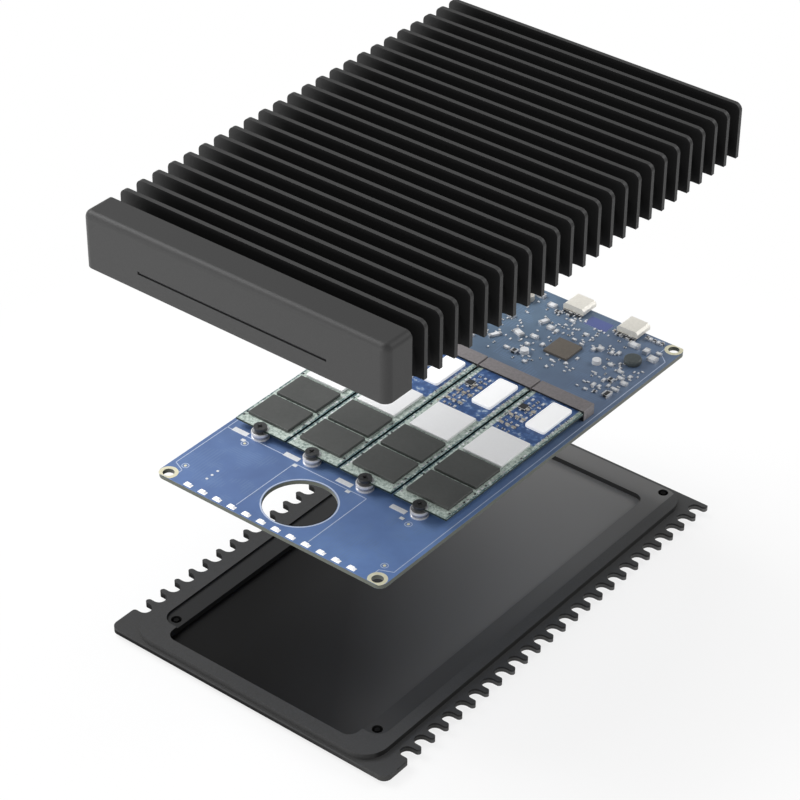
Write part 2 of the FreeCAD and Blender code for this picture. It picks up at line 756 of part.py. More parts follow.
def check_and_export():
    """Stop on any failed object or bad shape, then write one file for each piece."""
    doc.recompute()
    failed = [item.Name for item in doc.Objects
              if "Invalid" in item.State or "Error" in item.State]
    if failed:
        raise RuntimeError("failed: " + ", ".join(failed))
    for body in finished:
        if body.Shape.isNull() or not body.Shape.isValid() or not body.Shape.Solids:
            raise RuntimeError(f"{body.Label} has no sound shape")
    os.makedirs(OUTPUT_FOLDER, exist_ok=True)
    for body in finished:
        body.Shape.exportStep(os.path.join(OUTPUT_FOLDER, f"{body.Label}.step"))
    print(len(finished), "pieces written")


base_plate()
for number, (across, along) in enumerate(
        (("-foot_x", "-foot_y"), ("foot_x", "-foot_y"), ("-foot_x", "foot_y"), ("foot_x", "foot_y")),
        start=1):
    foot(number, across, along)
case_screws()

main_board()
status_lights()
card_standoffs()
card_screws()
for number in range(1, CARD_COUNT + 1):
    across = f"row_start + {number - 1} * card_pitch"
    memory_card(number, across)
    card_socket(number, across)
    card_chips(number, across)
    card_trim(number, across)
for number in range(1, PORT_COUNT + 1):
    data_port(number)
bridge_chip()
round_part("power_coil", "coil_position", "board_back - coil_offset", "coil_radius", "coil_height")
round_part("board_capacitor", "-capacitor_position", "board_back - capacitor_offset",
           "capacitor_radius", "capacitor_height")

finned_housing()
light_guide()
for number in range(1, CARD_COUNT + 1):
    thermal_pad(number)

check_and_export()
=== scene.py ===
"""Looks of a finned portable drive that is shown opened up in three layers."""
import json
import math
import random

import bmesh
import bpy
from mathutils import Matrix, Vector

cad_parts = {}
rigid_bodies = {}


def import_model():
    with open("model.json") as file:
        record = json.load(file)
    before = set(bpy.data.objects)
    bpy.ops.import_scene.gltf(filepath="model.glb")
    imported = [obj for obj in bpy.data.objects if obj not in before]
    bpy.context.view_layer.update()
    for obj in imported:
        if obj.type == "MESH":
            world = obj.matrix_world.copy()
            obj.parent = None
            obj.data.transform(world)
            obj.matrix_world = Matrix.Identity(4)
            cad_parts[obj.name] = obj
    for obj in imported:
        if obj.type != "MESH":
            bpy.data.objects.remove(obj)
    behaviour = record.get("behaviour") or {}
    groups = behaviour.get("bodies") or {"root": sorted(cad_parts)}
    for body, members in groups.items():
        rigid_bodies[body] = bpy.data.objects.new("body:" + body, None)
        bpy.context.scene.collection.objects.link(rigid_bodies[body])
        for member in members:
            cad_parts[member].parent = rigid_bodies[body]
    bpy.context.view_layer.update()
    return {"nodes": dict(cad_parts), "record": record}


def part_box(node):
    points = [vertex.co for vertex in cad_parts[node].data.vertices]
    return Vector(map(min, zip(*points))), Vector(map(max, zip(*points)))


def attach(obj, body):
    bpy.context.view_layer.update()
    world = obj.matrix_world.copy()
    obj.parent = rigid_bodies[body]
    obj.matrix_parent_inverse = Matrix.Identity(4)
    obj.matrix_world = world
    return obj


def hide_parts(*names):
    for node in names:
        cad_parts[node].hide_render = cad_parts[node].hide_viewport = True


MM = 0.001

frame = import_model()
random.seed(7)


def node_box(node):
    """Lowest and highest corners of a node at rest, in millimetres."""
    low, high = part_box(node)
    return Vector(low) / MM, Vector(high) / MM


# Boxes of the large pieces, and sizes of the case and the board
BOARD_LOW, BOARD_HIGH = node_box("main_board")
BOARD_TOP = BOARD_HIGH.z
CASE_LOW, CASE_HIGH = node_box("base_plate")
CASE_FRONT = CASE_LOW.y
HOUSING_TOP = node_box("heatsink_housing")[1].z
BAR_DEPTH = 11.8
FIN_CORNER = 3.0
SEAT_LEVEL = CASE_HIGH.z - 0.8
POCKET_FLOOR = CASE_HIGH.z - 2.9
CARDS = range(1, 5)


def along(distance):
    """Y of a point at a distance behind the case's front face."""
    return CASE_FRONT + distance


def card_middle(number):
    """X of a memory card's centre line."""
    low, high = node_box(f"memory_card_{number}")
    return (low.x + high.x) / 2


CARD_PITCH = card_middle(2) - card_middle(1)


# Node helpers for materials

def new_material(name):
    material = bpy.data.materials.new(name)
    material.use_nodes = True
    tree = material.node_tree
    tree.nodes.clear()
    output = tree.nodes.new("ShaderNodeOutputMaterial")
    shader = tree.nodes.new("ShaderNodeBsdfPrincipled")
    tree.links.new(shader.outputs["BSDF"], output.inputs["Surface"])
    return material, tree, shader


def place_coordinates(tree):
    """Place in the shared frame, in metres."""
    return tree.nodes.new("ShaderNodeTexCoord").outputs["Object"]


def noise(tree, vector, scale, detail=3.0, roughness=0.55):
    node = tree.nodes.new("ShaderNodeTexNoise")
    node.inputs["Scale"].default_value = scale
    node.inputs["Detail"].default_value = detail
    node.inputs["Roughness"].default_value = roughness
    tree.links.new(vector, node.inputs["Vector"])
    return node.outputs["Fac"]


def ramp(tree, factor, stops):
    """Colour ramp through stops given as (place, colour)."""
    node = tree.nodes.new("ShaderNodeValToRGB")
    elements = node.color_ramp.elements
    while len(elements) < len(stops):
        elements.new(0.5)
    for element, (place, colour) in zip(elements, stops):
        element.position = place
        element.color = (*colour, 1.0)
    tree.links.new(factor, node.inputs["Fac"])
    return node.outputs["Color"]


def mix(tree, factor, first, second, blend="MIX"):
    node = tree.nodes.new("ShaderNodeMix")
    node.data_type = "RGBA"
    node.blend_type = blend
    for socket, source in ((node.inputs[0], factor), (node.inputs[6], first), (node.inputs[7], second)):
        if hasattr(source, "is_linked"):
            tree.links.new(source, socket)
        elif isinstance(source, (int, float)):
            socket.default_value = source
        else:
            socket.default_value = (*source, 1.0)
    return node.outputs[2]


def bump(tree, shader, height, strength, distance):
    node = tree.nodes.new("ShaderNodeBump")
    node.inputs["Strength"].default_value = strength
    node.inputs["Distance"].default_value = distance
    tree.links.new(height, node.inputs["Height"])
    tree.links.new(node.outputs["Normal"], shader.inputs["Normal"])


def step(tree, value, low, high):
    """Smooth 0 to 1 as a value goes from low to high."""
    node = tree.nodes.new("ShaderNodeMapRange")
    node.interpolation_type = "SMOOTHSTEP"
    node.inputs["From Min"].default_value = low
    node.inputs["From Max"].default_value = high
    tree.links.new(value, node.inputs["Value"])
    return node.outputs["Result"]


def slide(tree, value, first, last, start=0.0, end=1.0):
    """Straight run of a number from first to last as a value goes from start to end."""
    node = tree.nodes.new("ShaderNodeMapRange")
    node.inputs["From Min"].default_value = start
    node.inputs["From Max"].default_value = end
    node.inputs["To Min"].default_value = first
    node.inputs["To Max"].default_value = last
    tree.links.new(value, node.inputs["Value"])
    return node.outputs["Result"]


def axis_of(tree, vector, axis):
    node = tree.nodes.new("ShaderNodeSeparateXYZ")
    tree.links.new(vector, node.inputs[0])
    return node.outputs[axis]


def calculate(tree, operation, *sources):
    """Math node on sockets and numbers."""
    node = tree.nodes.new("ShaderNodeMath")
    node.operation = operation
    for socket, source in zip(node.inputs, sources):
        if hasattr(source, "is_linked"):
            tree.links.new(source, socket)
        else:
            socket.default_value = source
    return node.outputs[0]


def multiply(tree, first, second):
    return calculate(tree, "MULTIPLY", first, second)


def facing(tree, axis):
    """How far a surface faces along an axis, either way."""
    normal = tree.nodes.new("ShaderNodeNewGeometry").outputs["True Normal"]
    return calculate(tree, "ABSOLUTE", axis_of(tree, normal, axis))


def above(tree, level, height):
    """1 from just under a height in millimetres, and 0 lower down."""
    return step(tree, level, (height - 0.15) * MM, (height - 0.05) * MM)


def below(tree, level, height):
    """1 up to just over a height in millimetres, and 0 higher up."""
    return step(tree, level, (height + 0.15) * MM, (height + 0.05) * MM)


def grey(tone):
    return (tone, tone, tone)


def grained(name, dark, light, roughness, metallic=0.0, grain=900.0, broad=25.0, depth=0.00002,
            strength=0.25, specular=0.5):
    """Surface with a fine grain, a slow drift of tone and uneven gloss."""
    material, tree, shader = new_material(name)
    vector = place_coordinates(tree)
    fine = noise(tree, vector, grain)
    slow = noise(tree, vector, broad, 2.0)
    tone = mix(tree, 0.5, fine, slow)
    tree.links.new(ramp(tree, tone, [(0.3, dark), (0.7, light)]), shader.inputs["Base Color"])
    uneven = slide(tree, slow, roughness - 0.05, roughness + 0.05, 0.3, 0.7)
    tree.links.new(uneven, shader.inputs["Roughness"])
    shader.inputs["Metallic"].default_value = metallic
    shader.inputs["Specular IOR Level"].default_value = specular
    bump(tree, shader, fine, strength, depth)
    return material


def board_traces(tree, vector):
    """Routed lines along both axes, in loose fields."""
    fields = []
    for direction, line_scale, field_scale in (("X", 260.0, 95.0), ("Y", 310.0, 120.0)):
        wave = tree.nodes.new("ShaderNodeTexWave")
        wave.bands_direction = direction
        wave.inputs["Scale"].default_value = line_scale
        wave.inputs["Distortion"].default_value = 0.0
        tree.links.new(vector, wave.inputs["Vector"])
        where = step(tree, noise(tree, vector, field_scale, 1.0), 0.56, 0.6)
        fields.append(multiply(tree, step(tree, wave.outputs["Fac"], 0.6, 0.8), where))
    return calculate(tree, "MAXIMUM", *fields)


def board_mask():
    """Blue solder mask over traces: greyer behind, paler on the right as painted light, and olive at the
    edges.
    """
    material, tree, shader = new_material("board_mask")
    vector = place_coordinates(tree)
    back = step(tree, axis_of(tree, vector, "Y"), along(20) * MM, along(150) * MM)
    # Paler towards the right: painted light that lifts the board where the housing shades it.
    right = step(tree, axis_of(tree, vector, "X"), -20.0 * MM, BOARD_HIGH.x * MM)
    front_tone = mix(tree, right, (0.108, 0.186, 0.4), (0.15, 0.262, 0.545))
    back_tone = mix(tree, right, (0.108, 0.168, 0.245), (0.14, 0.2, 0.31))
    base = mix(tree, back, front_tone, back_tone)
    traces = board_traces(tree, vector)
    routed = mix(tree, multiply(tree, traces, 0.35), base, (0.16, 0.25, 0.42))
    cloud = noise(tree, vector, 60.0, 4.0)
    tone = ramp(tree, cloud, [(0.3, (0.82, 0.82, 0.84)), (0.7, (1.08, 1.08, 1.06))])
    masked = mix(tree, 1.0, routed, tone, "MULTIPLY")
    edge = step(tree, facing(tree, "Z"), 0.5, 0.3)
    tree.links.new(mix(tree, edge, masked, (0.1, 0.11, 0.088)), shader.inputs["Base Color"])
    shader.inputs["Roughness"].default_value = 0.38
    bump(tree, shader, traces, 0.3, 0.00003)
    return material


CARD_BLUE_HALF = 9.05
CARD_RIM_HALF = 10.35
CARD_BLUE_FRONT = 100.25


def card_mask():
    """Memory card: pale speckled mask, a teal rim, and blue behind the controller."""
    material, tree, shader = new_material("card_mask")
    vector = place_coordinates(tree)
    specks = noise(tree, vector, 1100.0, 2.0, 0.7)
    pale = ramp(tree, specks, [(0.34, (0.2, 0.27, 0.24)), (0.46, (0.44, 0.52, 0.47)),
                               (0.66, (0.66, 0.74, 0.68))])
    teal = ramp(tree, specks, [(0.4, (0.05, 0.1, 0.11)), (0.52, (0.12, 0.2, 0.2)),
                               (0.62, (0.55, 0.63, 0.6))])
    blue = ramp(tree, noise(tree, vector, 500.0, 2.0, 0.6),
                [(0.42, (0.04, 0.095, 0.25)), (0.58, (0.075, 0.16, 0.38)), (0.7, (0.42, 0.52, 0.64))])
    # Distance from the centre line of the nearest card.
    from_first = calculate(tree, "ADD", axis_of(tree, vector, "X"), -card_middle(1) * MM)
    offset = calculate(tree, "WRAP", from_first, CARD_PITCH / 2 * MM, -CARD_PITCH / 2 * MM)
    reach = calculate(tree, "ABSOLUTE", offset)
    middle = step(tree, reach, (CARD_BLUE_HALF + 0.15) * MM, (CARD_BLUE_HALF - 0.15) * MM)
    outer = step(tree, reach, (CARD_RIM_HALF - 0.15) * MM, (CARD_RIM_HALF + 0.15) * MM)
    behind = step(tree, axis_of(tree, vector, "Y"), along(CARD_BLUE_FRONT - 0.75) * MM,
                  along(CARD_BLUE_FRONT + 0.75) * MM)
    top = mix(tree, multiply(tree, behind, middle), mix(tree, outer, pale, teal), blue)
    # Side walls near-black: the card's dark edge, deepened by painted shade of the gap under the card.
    wall = step(tree, facing(tree, "Z"), 0.5, 0.3)
    tree.links.new(mix(tree, wall, top, (0.012, 0.028, 0.022)), shader.inputs["Base Color"])
    shader.inputs["Roughness"].default_value = 0.42
    bump(tree, shader, specks, 0.3, 0.00004)
    return material


def socket_finish():
    """Warm grey socket body with a black mouth and back: painted shade of the gap between the socket and
    the card.
    """
    material, tree, shader = new_material("socket_body")
    fine = noise(tree, place_coordinates(tree), 900.0)
    body = ramp(tree, fine, [(0.3, (0.2, 0.183, 0.186)), (0.7, (0.26, 0.24, 0.243))])
    # Painted shade: faces towards the front and back near-black.
    mouth = step(tree, facing(tree, "Y"), 0.8, 0.95)
    tree.links.new(mix(tree, mouth, body, (0.012, 0.012, 0.014)), shader.inputs["Base Color"])
    shader.inputs["Roughness"].default_value = 0.45
    return material


def glowing_white(name, glow):
    """White with a faint glow: painted light that keeps it white in the shade of the layer above."""
    material = grained(name, (0.95, 0.95, 0.96), (1.0, 1.0, 1.0), 0.4)
    shader = next(node for node in material.node_tree.nodes if node.type == "BSDF_PRINCIPLED")
    shader.inputs["Emission Color"].default_value = (1.0, 1.0, 1.0, 1.0)
    shader.inputs["Emission Strength"].default_value = glow
    return material


SATIN_GRAIN = 2200.0
FADE_WIDTH = 14.0
LEAN = 1.5


def satin_bump(tree, shader, fine):
    bump(tree, shader, fine, 0.35, 0.000015)


def channel_shade_mask(tree, vector, behind_bar):
    """Painted shade mask: 1 on the walls and floors of the channels between the fins, fading out at their
    left ends.
    """
    before_back = step(tree, axis_of(tree, vector, "Y"), (CASE_HIGH.y - 0.05) * MM,
                       (CASE_HIGH.y - 0.1) * MM)
    wall = step(tree, facing(tree, "Y"), 0.9, 0.97)
    corner_level = HOUSING_TOP - FIN_CORNER
    low = step(tree, axis_of(tree, vector, "Z"), corner_level * MM, (corner_level - 0.2) * MM)
    low = multiply(tree, low, step(tree, facing(tree, "X"), 0.97, 0.9))
    deep = calculate(tree, "MAXIMUM", wall, low)
    inside = multiply(tree, multiply(tree, behind_bar, before_back), deep)
    left = step(tree, axis_of(tree, vector, "X"), CASE_LOW.x * MM, (CASE_LOW.x + FADE_WIDTH) * MM)
    return multiply(tree, inside, left)


def housing_finish():
    """Dark anodised satin with painted light and shade: lighter on the bar's front, dimmer on top and on
    the fins, and black in the channels between them as painted shade.
    """
    material, tree, shader = new_material("housing_finish")
    vector = place_coordinates(tree)
    fine = noise(tree, vector, SATIN_GRAIN)
    # Lit and shaded copies of the satin: painted light for the bar's front, painted shade for the tops and
    # everything behind the bar.
    lit_satin = ramp(tree, fine, [(0.3, grey(0.048)), (0.7, grey(0.056))])
    shaded_satin = ramp(tree, fine, [(0.3, grey(0.029)), (0.7, grey(0.034))])
    behind_bar = step(tree, axis_of(tree, vector, "Y"), along(BAR_DEPTH - 0.1) * MM,
                      along(BAR_DEPTH - 0.05) * MM)
    painted_shade_faces = calculate(tree, "MAXIMUM", behind_bar, step(tree, facing(tree, "Z"), 0.5, 0.95))
    satin = mix(tree, painted_shade_faces, lit_satin, shaded_satin)
    # Painted shade: the channels near-black, with a lower specular level there.
    black = channel_shade_mask(tree, vector, behind_bar)
    tree.links.new(mix(tree, black, satin, (0.019, 0.019, 0.0192)), shader.inputs["Base Color"])
    shader.inputs["Roughness"].default_value = 0.5
    tree.links.new(slide(tree, black, 0.28, 0.04), shader.inputs["Specular IOR Level"])
    satin_bump(tree, shader, fine)
    return material


def seat_painted_light(tree, way, across, depth):
    """Painted light and shade on the board seat: one drift on the left, one on the right, and paler at the
    back.
    """
    left_tone = ramp(tree, way, [(0.0, grey(0.029)), (0.53, (0.044, 0.044, 0.0435)),
                                 (0.73, (0.068, 0.067, 0.066)), (1.0, (0.088, 0.087, 0.086))])
    behind = step(tree, depth, along(0.0) * MM, along(180.0) * MM)
    right_tone = ramp(tree, behind, [(0.08, grey(0.039)), (0.26, (0.05, 0.0497, 0.0493)),
                                     (0.52, (0.074, 0.073, 0.0725)), (0.8, (0.108, 0.107, 0.105))])
    tone = mix(tree, step(tree, across, -1.0 * MM, 1.0 * MM), left_tone, right_tone)
    at_back = step(tree, depth, along(174.0) * MM, along(180.0) * MM)
    return mix(tree, at_back, tone, (0.14, 0.138, 0.135))


def base_finish():
    """Dark anodised base with painted light: its pocket floor and board seat get paler towards the back
    right, and its side walls get painted shade.
    """
    material, tree, shader = new_material("base_finish")
    vector = place_coordinates(tree)
    across, depth, level = (axis_of(tree, vector, axis) for axis in "XYZ")
    fine = noise(tree, vector, SATIN_GRAIN)
    plain_tone = ramp(tree, fine, [(0.3, grey(0.051)), (0.7, grey(0.062))])
    # Painted shade: side walls behind the front edge darker.
    side_wall_shade = multiply(tree, step(tree, facing(tree, "Z"), 0.3, 0.1),
                         step(tree, depth, along(5.0) * MM, along(7.0) * MM))
    plain_tone = mix(tree, side_wall_shade, plain_tone, grey(0.021))
    # 0 at the front left of the base and 1 at its back right.
    way = step(tree, calculate(tree, "MULTIPLY_ADD", across, LEAN, depth), -110.0 * MM, 120.0 * MM)
    # Painted reflection on the pocket floor: near-black at the front left, paler towards the back right.
    pocket_painted_light = ramp(tree, way, [(0.0, (0.0088, 0.0087, 0.0086)), (0.22, (0.0195, 0.0192, 0.019)),
                                  (0.35, (0.0375, 0.037, 0.0366)), (0.48, (0.061, 0.0602, 0.0595)),
                                  (0.67, (0.096, 0.095, 0.0938)), (1.0, (0.168, 0.166, 0.1625))])
    at_seat = multiply(tree, above(tree, level, SEAT_LEVEL), below(tree, level, SEAT_LEVEL))
    at_seat = multiply(tree, at_seat, step(tree, facing(tree, "Z"), 0.9, 0.95))
    over_floor = mix(tree, at_seat, plain_tone, seat_painted_light(tree, way, across, depth))
    shown = mix(tree, below(tree, level, POCKET_FLOOR), over_floor, pocket_painted_light)
    tree.links.new(shown, shader.inputs["Base Color"])
    shader.inputs["Roughness"].default_value = 0.45
    tree.links.new(slide(tree, way, 0.06, 0.35), shader.inputs["Specular IOR Level"])
    satin_bump(tree, shader, fine)
    return material


MATERIALS = {
    "heatsink_housing": housing_finish(),
    "base_plate": base_finish(),
    "light_guide": grained("smoked_guide", (0.012, 0.012, 0.013), (0.02, 0.02, 0.022), 0.15),
    "foot": grained("foot_rubber", (0.022, 0.022, 0.022), (0.034, 0.034, 0.034), 0.8, grain=1500.0),
    "case_screws": grained("black_screw", (0.004, 0.004, 0.004), (0.008, 0.008, 0.008), 0.7,
                            specular=0.04),
    "card_screws": grained("dark_screw", (0.05, 0.051, 0.052), (0.1, 0.101, 0.102), 0.3, metallic=0.6),
    "card_standoffs": grained("plated_post", (0.5, 0.5, 0.52), (0.66, 0.66, 0.68), 0.25, metallic=0.7),
    "main_board": board_mask(),
    "memory_card": card_mask(),
    "status_lights": glowing_white("light_package", 0.25),
    "card_socket": socket_finish(),
    "memory_chip": grained("memory_package", (0.06, 0.063, 0.06), (0.082, 0.085, 0.081), 0.45, broad=60.0),
    "controller": grained("controller_lid", (0.95, 0.95, 0.96), (1.0, 1.0, 1.0), 0.35),
    "cache_chip": glowing_white("cache_package", 0.25),
    "card_trim": grained("trim_ceramic", (0.3, 0.26, 0.2), (0.66, 0.62, 0.55), 0.4, grain=700.0),
    "data_port": grained("port_shell", (0.8, 0.77, 0.69), (0.95, 0.92, 0.84), 0.35, metallic=0.2),
    "bridge_chip": grained("bridge_package", (0.115, 0.1, 0.082), (0.165, 0.143, 0.12), 0.4),
    "power_coil": grained("coil_ferrite", (0.06, 0.072, 0.072), (0.1, 0.115, 0.115), 0.5),
    "board_capacitor": grained("capacitor_can", (0.45, 0.43, 0.38), (0.66, 0.64, 0.59), 0.35, metallic=0.4),
    "thermal_pad": grained("pad_rubber", (0.3, 0.33, 0.36), (0.42, 0.45, 0.48), 0.9, grain=600.0),
}
NODE_KINDS = {
    "front_memory": "memory_chip",
    "rear_memory": "memory_chip",
}


def material_for(node):
    """Finish of a node, by its name or by its kind where it is one of several."""
    if node in MATERIALS:
        return MATERIALS[node]
    kind = node.rstrip("0123456789").rstrip("_")
    return MATERIALS[NODE_KINDS.get(kind, kind)]


# CAD nodes: each keeps its mesh and gets its finish

for node_name, node_object in frame["nodes"].items():
    meshes = [node_object] if node_object.type == "MESH" else []
    meshes += [child for child in node_object.children_recursive if child.type == "MESH"]
    for mesh_object in meshes:
        for mesh_slot in mesh_object.material_slots:
            mesh_slot.material = material_for(node_name)

# Rounded copies of the pieces whose small edge breaks catch the light

# Width of the break at each piece's edges
BEVELS = {
    "heatsink_housing": 0.42,
    "base_plate": 0.3,
    "main_board": 0.12,
    "light_guide": 0.1,
    "card_standoffs": 0.12,
    "card_screws": 0.3,
    "status_lights": 0.12,
    "bridge_chip": 0.12,
    "power_coil": 0.6,
    "board_capacitor": 0.45,
    "case_screws": 0.2,
}
for corner in (1, 2, 3, 4):
    BEVELS[f"foot_{corner}"] = 0.5
for card in CARDS:
    BEVELS.update({
        f"memory_card_{card}": 0.06,
        f"card_socket_{card}": 0.18,
        f"front_memory_{card}": 0.14,
        f"rear_memory_{card}": 0.14,
        f"controller_{card}": 0.2,
        f"cache_chip_{card}": 0.22,
        f"card_trim_{card}": 0.1,
    })
SHARP_ANGLE = math.radians(32)
ROUNDED_ANGLE = math.radians(50)
FLAT_ANGLE = math.radians(0.6)
MERGE_DISTANCE = 0.002 * MM
CUT_ANGLE = 45
# Cut corners that get rounder: how far from the middle they lie, and by how much they are rounded
ROOTS = (0.0, 58.5)
TIPS = (58.5, 70.0)
ROUNDINGS = {
    "base_plate": ((ROOTS, 1.0), (TIPS, 0.35)),
    "heatsink_housing": ((ROOTS, 1.0), (TIPS, 0.9)),
}
UPRIGHT_ROUNDINGS = {f"cache_chip_{card}": 1.0 for card in CARDS}


def finish_mesh(mesh, smooth_angle=SHARP_ANGLE):
    """Shade smooth, with the sharp edges kept by angle."""
    for polygon in mesh.polygons:
        polygon.use_smooth = True
    mesh.set_sharp_from_angle(angle=smooth_angle)


def cut_corner_edges(work, nearest, farthest):
    """Edges of the cut corners within a span of distances from the middle."""
    found = []
    for edge in work.edges:
        if len(edge.link_faces) != 2:
            continue
        reach = (abs(edge.verts[0].co.x) + abs(edge.verts[1].co.x)) / 2 / MM
        off_angle = abs(math.degrees(edge.calc_face_angle()) - CUT_ANGLE)
        if nearest < reach < farthest and off_angle < 2:
            found.append(edge)
    return found


def upright_edges(work):
    """Edges that stand straight up."""
    found = []
    for edge in work.edges:
        first, second = (vert.co for vert in edge.verts)
        if (first - second).xy.length < MERGE_DISTANCE:
            found.append(edge)
    return found


def round_off(work, edges, width, segments):
    bmesh.ops.bevel(work, geom=edges, offset=width * MM, segments=segments, affect="EDGES", profile=0.5,
                    clamp_overlap=True)


def apply_modifiers(piece):
    evaluated = piece.evaluated_get(bpy.context.evaluated_depsgraph_get())
    mesh = bpy.data.meshes.new_from_object(evaluated)
    piece.modifiers.clear()
    piece.data = mesh


def rounded_copy(node, width, body):
    """A copy of a node with its sharp edges broken, shown in its place."""
    mesh = frame["nodes"][node].data.copy()
    work = bmesh.new()
    work.from_mesh(mesh)
    bmesh.ops.remove_doubles(work, verts=work.verts, dist=MERGE_DISTANCE)
    bmesh.ops.dissolve_limit(work, angle_limit=FLAT_ANGLE, verts=work.verts, edges=work.edges)
    for (nearest, farthest), reach in ROUNDINGS.get(node, ()):
        round_off(work, cut_corner_edges(work, nearest, farthest), reach, 4)
    if node in UPRIGHT_ROUNDINGS:
        round_off(work, upright_edges(work), UPRIGHT_ROUNDINGS[node], 5)
    work.to_mesh(mesh)
    work.free()
    piece = bpy.data.objects.new(f"{node}_finished", mesh)
    bpy.context.scene.collection.objects.link(piece)
    bevel = piece.modifiers.new("edges", "BEVEL")
    bevel.width = width * MM
    bevel.segments = 2
    bevel.limit_method = "ANGLE"
    bevel.angle_limit = SHARP_ANGLE
    bevel.use_clamp_overlap = True
    bevel.miter_outer = "MITER_ARC"
    apply_modifiers(piece)
    piece.data.materials.clear()
    piece.data.materials.append(material_for(node))
    finish_mesh(piece.data, ROUNDED_ANGLE)
    piece.modifiers.new("shading", "WEIGHTED_NORMAL").keep_sharp = True
    apply_modifiers(piece)
    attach(piece, body)
    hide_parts(node)


def body_of_node(node):
    return next(name for name, members in frame["record"]["behaviour"]["bodies"].items()
                if node in members)


for node_name, width in BEVELS.items():
    rounded_copy(node_name, width, body_of_node(node_name))

# Small parts and print, drawn as one mesh for each kind

SOLDER = grained("solder", (0.6, 0.61, 0.63), (0.85, 0.86, 0.88), 0.3, metallic=0.7)
CERAMIC = grained("ceramic", (0.33, 0.26, 0.19), (0.5, 0.42, 0.33), 0.4)
PALE = grained("pale_part", (0.7, 0.71, 0.73), (0.9, 0.91, 0.93), 0.4)
DARK = grained("dark_part", (0.02, 0.022, 0.026), (0.045, 0.047, 0.052), 0.4)
GOLD = grained("hole_plating", (0.72, 0.68, 0.46), (0.88, 0.85, 0.66), 0.35, metallic=0.15)
SILK = grained("print_white", (0.44, 0.52, 0.7), (0.58, 0.66, 0.82), 0.6)
PATCH = grained("mask_patch", (0.09, 0.12, 0.31), (0.11, 0.14, 0.35), 0.35)
POST = grained("plated_collar", (0.8, 0.79, 0.8), (0.95, 0.94, 0.95), 0.3, metallic=0.3)

# Finishes of the small parts and of the print, and the place of each in its mesh
PART_FINISHES = (PALE, DARK, CERAMIC, SOLDER)
PALE_PART, DARK_PART, BROWN_PART, SOLDERED = range(4)
KINDS = {"pale": PALE_PART, "dark": DARK_PART, "brown": BROWN_PART}
PRINT_FINISHES = (SILK, PALE, PATCH, GOLD, MATERIALS["status_lights"])
SILK_LINE, WHITE_PAD, SMOOTH_PATCH, GOLD_RING, LIGHT_PAD = range(5)
PRINT_WIDTH = 0.3
PRINT_HEIGHT = 0.04


class Blocks:
    """Collects small bevelled blocks into one mesh with several finishes. Sizes are millimetres."""

    def __init__(self, name, materials):
        self.name = name
        self.materials = materials
        self.work = bmesh.new()

    def block(self, centre, size, finish=0, turn=0.0, edge=0.06):
        """A block with its underside at centre.z, turned about Z."""
        made = bmesh.ops.create_cube(self.work, size=1.0)["verts"]
        place = (Matrix.Translation(Vector(centre) + Vector((0, 0, size[2] / 2)))
                 @ Matrix.Rotation(math.radians(turn), 4, "Z") @ Matrix.Diagonal((*size, 1.0)))
        bmesh.ops.transform(self.work, matrix=Matrix.Scale(MM, 4) @ place, verts=made)
        faces = dict.fromkeys(face for vertex in made for face in vertex.link_faces)
        for face in faces:
            face.material_index = finish
        borders = dict.fromkeys(border for face in faces for border in face.edges)
        round_off(self.work, list(borders), edge, 1)

    def passive(self, place, size, turn, kind):
        """Two-ended part: a body between two soldered end caps that are a little larger."""
        length, width, height = size
        self.block(place, (length * 0.56, width, height), KINDS[kind], turn)
        angle = math.radians(turn)
        for side in (-1, 1):
            shift = Vector((math.cos(angle), math.sin(angle), 0)) * side * length * 0.39
            self.block(Vector(place) + shift, (length * 0.22, width * 1.04, height * 1.05), SOLDERED, turn)

    def line(self, points):
        """Printed line through points given as across and behind, on the board's top."""
        for (x0, y0), (x1, y1) in zip(points, points[1:]):
            length = math.hypot(x1 - x0, y1 - y0) + PRINT_WIDTH
            turn = math.degrees(math.atan2(y1 - y0, x1 - x0))
            centre = ((x0 + x1) / 2, along((y0 + y1) / 2), BOARD_TOP)
            self.block(centre, (length, PRINT_WIDTH, PRINT_HEIGHT), SILK_LINE, turn, 0.01)

    def disc(self, centre, radius, height, finish=0, segments=28):
        """Round part whose top is a little narrower than its foot."""
        made = bmesh.ops.create_cone(self.work, cap_ends=True, segments=segments, radius1=radius,
                                     radius2=radius * 0.94, depth=height)["verts"]
        place = Matrix.Translation(Vector(centre) + Vector((0, 0, height / 2)))
        bmesh.ops.transform(self.work, matrix=Matrix.Scale(MM, 4) @ place, verts=made)
        for vertex in made:
            for face in vertex.link_faces:
                face.material_index = finish

    def ring(self, centre, inner, outer, height, finish=0, segments=48, span=(-1000.0, 1000.0)):
        """Flat ring with an open middle, cut off along Y where it would leave the span."""
        loops = []
        for radius, level in ((inner, 0), (outer, 0), (outer, height), (inner, height)):
            loop = []
            for turn in range(segments):
                angle = 2 * math.pi * turn / segments
                depth = min(max(centre[1] + radius * math.sin(angle), span[0]), span[1])
                place = Vector((centre[0] + radius * math.cos(angle), depth, centre[2] + level))
                loop.append(self.work.verts.new(place * MM))
            loops.append(loop)
        for number in range(4):
            first, second = loops[number], loops[(number + 1) % 4]
            for turn in range(segments):
                after = (turn + 1) % segments
                face = self.work.faces.new((first[turn], first[after], second[after], second[turn]))
                face.material_index = finish

    def done(self, body):
        """Make the mesh an object that rides on a body."""
        bmesh.ops.recalc_face_normals(self.work, faces=self.work.faces)
        mesh = bpy.data.meshes.new(self.name)
        self.work.to_mesh(mesh)
        self.work.free()
        piece = bpy.data.objects.new(self.name, mesh)
        bpy.context.scene.collection.objects.link(piece)
        for material in self.materials:
            mesh.materials.append(material)
        finish_mesh(mesh)
        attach(piece, body)
        return piece


PORT_LEGS = 7


